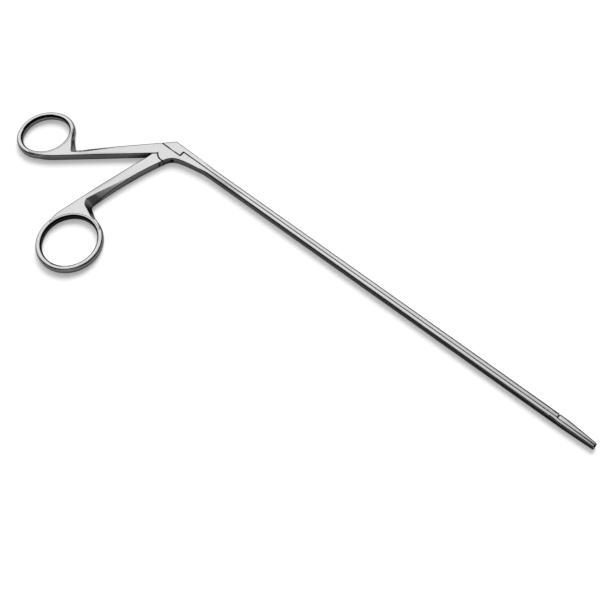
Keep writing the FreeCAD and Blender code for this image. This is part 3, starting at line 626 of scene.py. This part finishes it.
def studio_world(settings):
    """A soft bright ceiling behind the forceps, and dark walls in front and to the right of it.

    The room is fixed: it doesn't turn with the camera."""
    world = bpy.data.worlds.new("Studio")
    bpy.context.scene.world = world
    world.use_nodes = True
    tree = world.node_tree
    tree.nodes.clear()
    place = add(tree, "ShaderNodeTexCoord", -600, 0).outputs["Generated"]
    sine, cosine = math.sin(settings.azimuth), math.cos(settings.azimuth)
    tones = []
    for towards, y, stops in (((-sine, cosine, 0.0), 300, FRONT_TO_BACK), ((cosine, sine, 0.0), 0, LEFT_TO_RIGHT),
                              ((0.0, 0.0, 1.0), -300, FLOOR_TO_CEILING)):
        share = measure(tree, "DOT_PRODUCT", -400, y, place, towards)
        level = add(tree, "ShaderNodeMapRange", -200, y, Value=share, From_Min=-1.0).outputs["Result"]
        tones.append(ramp(tree, 0, y, level, stops))
    walls = calculate(tree, "MULTIPLY", 350, 100, tones[0], tones[1])
    room = calculate(tree, "MULTIPLY", 550, 0, walls, tones[2])
    sky = add(tree, "ShaderNodeBackground", 800, 0, Color=room, Strength=settings.room_light)
    add(tree, "ShaderNodeOutputWorld", 1000, 0, Surface=sky.outputs["Background"])


def direction(turn, height):
    """Points from the forceps to a place at this height angle, turned from across the shaft."""
    flat = math.cos(height)
    return Vector((math.sin(turn) * flat, math.cos(turn) * flat, math.sin(height)))


def point_back(thing, away):
    """Turns a lamp or camera that stands this way from the forceps towards it."""
    thing.rotation_mode = "QUATERNION"
    thing.rotation_quaternion = (-away).to_track_quat("-Z", "Y")


def studio_lamp(settings):
    """One wide soft lamp, high beside the shaft."""
    away = direction(settings.lamp_turn, settings.lamp_height)
    bpy.ops.object.light_add(type="SUN", location=away)
    lamp = bpy.context.object
    lamp.name = "Soft lamp"
    point_back(lamp, away)
    lamp.data.energy = settings.lamp_strength
    lamp.data.angle = settings.lamp_width
    lamp.visible_glossy = False


def studio_camera(settings):
    """Camera at the photograph's viewing angle."""
    aim = Vector((settings.aim_along, settings.aim_across, TOP_FACE))
    away = direction(math.pi - settings.azimuth, settings.elevation)
    bpy.ops.object.camera_add(location=aim + away * settings.distance)
    camera = bpy.context.object
    camera.name = "Camera"
    point_back(camera, away)
    camera.data.lens = settings.lens
    camera.data.sensor_width = SENSOR_WIDTH
    bpy.context.scene.camera = camera


class FORCEPS_OT_stage(bpy.types.Operator):
    """Lays the table and sets the light and the camera"""
    bl_idname = "forceps.stage"
    bl_label = "Table, light and camera"

    def execute(self, context):
        settings = context.scene.forceps_stage
        bpy.ops.mesh.primitive_plane_add(size=2 * settings.table_size, location=(0.0, 0.0, 0.0))
        table = context.object
        table.name = "table"
        table.data.materials.append(table_material(settings))
        studio_world(settings)
        studio_lamp(settings)
        studio_camera(settings)
        context.scene.view_settings.view_transform = "Standard"
        return {"FINISHED"}


class FORCEPS_PT_panel(bpy.types.Panel):
    """Lists the steps and the settings in the sidebar"""
    bl_label = "Ear forceps"
    bl_idname = "FORCEPS_PT_panel"
    bl_space_type = "VIEW_3D"
    bl_region_type = "UI"
    bl_category = "Forceps"

    def draw(self, context):
        column = self.layout.column()
        for step in STEPS:
            column.operator(step.bl_idname)
        for kind, settings in ((ForcepsSteel, context.scene.forceps_steel),
                               (ForcepsStage, context.scene.forceps_stage)):
            for name in kind.__annotations__:
                column.prop(settings, name)


STEPS = (FORCEPS_OT_handles, FORCEPS_OT_rod, FORCEPS_OT_jaw, FORCEPS_OT_pins, FORCEPS_OT_stage)
CLASSES = (ForcepsSteel, ForcepsStage) + STEPS + (FORCEPS_PT_panel,)


def register():
    for each in CLASSES:
        bpy.utils.register_class(each)
    bpy.types.Scene.forceps_steel = bpy.props.PointerProperty(type=ForcepsSteel)
    bpy.types.Scene.forceps_stage = bpy.props.PointerProperty(type=ForcepsStage)


def unregister():
    del bpy.types.Scene.forceps_stage
    del bpy.types.Scene.forceps_steel
    for each in reversed(CLASSES):
        bpy.utils.unregister_class(each)


def main():
    register()
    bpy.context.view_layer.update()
    bpy.ops.forceps.handles()
    bpy.ops.forceps.rod()
    bpy.ops.forceps.jaw()
    bpy.ops.forceps.pins()
    bpy.ops.forceps.stage()


if __name__ == "__main__":
    main()
